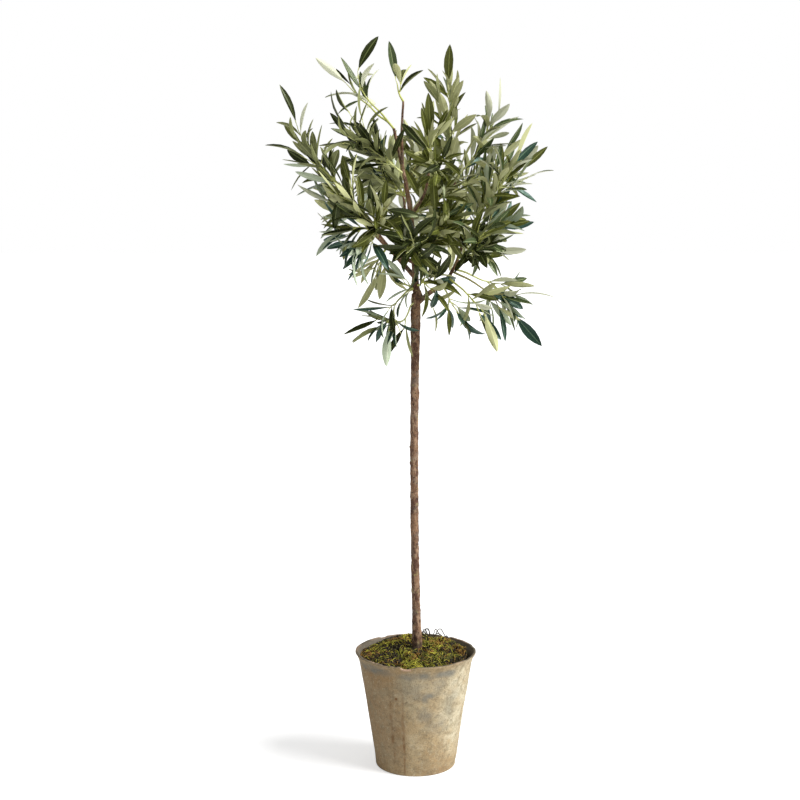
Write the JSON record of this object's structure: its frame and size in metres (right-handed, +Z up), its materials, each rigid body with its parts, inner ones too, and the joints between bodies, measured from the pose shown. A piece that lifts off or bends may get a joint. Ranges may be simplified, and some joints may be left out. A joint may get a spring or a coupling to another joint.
{
  "type": "potted artificial olive tree",
  "caption": "Slim bare stem with an open, fan-shaped crown of narrow two-tone leaves, standing in a tapered clay pot dressed with moss.",
  "frame": {"origin": "centre of the pot's flat underside", "axes": "+Z up along the stem, +X to the right and -Y to the front"},
  "size_m": [0.455, 0.434, 1.214],
  "materials": {
    "clay": "weathered unglazed clay, matt, with streaks and smudges",
    "plug": "rough cement-like potting plug, hidden under the moss",
    "moss": "curly preserved moss",
    "bark": "mottled brown and grey bark with pale flecks",
    "foliage": "satin narrow leaves, deep green above and pale sage below"
  },
  "bodies": {
    "root": {"bough_centre_front": "bark", "bough_left": "bark", "bough_left_front": "bark", "bough_rear": "bark", "bough_right": "bark", "bough_right_rear": "bark", "bough_top": "bark", "foliage_centre_top": "foliage", "foliage_core_left": "foliage", "foliage_core_low": "foliage", "foliage_core_right": "foliage", "foliage_crest": "foliage", "foliage_crest_left": "foliage", "foliage_crook": "foliage", "foliage_crown_left": "foliage", "foliage_far_left": "foliage", "foliage_far_right": "foliage", "foliage_fork": "foliage", "foliage_front": "foliage", "foliage_front_left": "foliage", "foliage_front_low": "foliage", "foliage_front_right": "foliage", "foliage_hanging_centre": "foliage", "foliage_hanging_far_left": "foliage", "foliage_hanging_inner": "foliage", "foliage_hanging_left": "foliage", "foliage_hanging_right": "foliage", "foliage_hanging_right_inner": "foliage", "foliage_left": "foliage", "foliage_left_fan": "foliage", "foliage_left_front": "foliage", "foliage_low_left": "foliage", "foliage_low_right": "foliage", "foliage_rear": "foliage", "foliage_rear_left": "foliage", "foliage_rear_low": "foliage", "foliage_rear_low_right": "foliage", "foliage_rear_right": "foliage", "foliage_rear_top": "foliage", "foliage_right": "foliage", "foliage_right_tip": "foliage", "foliage_small_left": "foliage", "foliage_top": "foliage", "foliage_top_far_right": "foliage", "foliage_top_right": "foliage", "foliage_upper_left": "foliage", "foliage_upper_right": "foliage", "leader": "bark", "moss": "moss", "pot": "clay", "potting_plug": "plug", "trunk": "bark"}
  },
  "joints": []
}
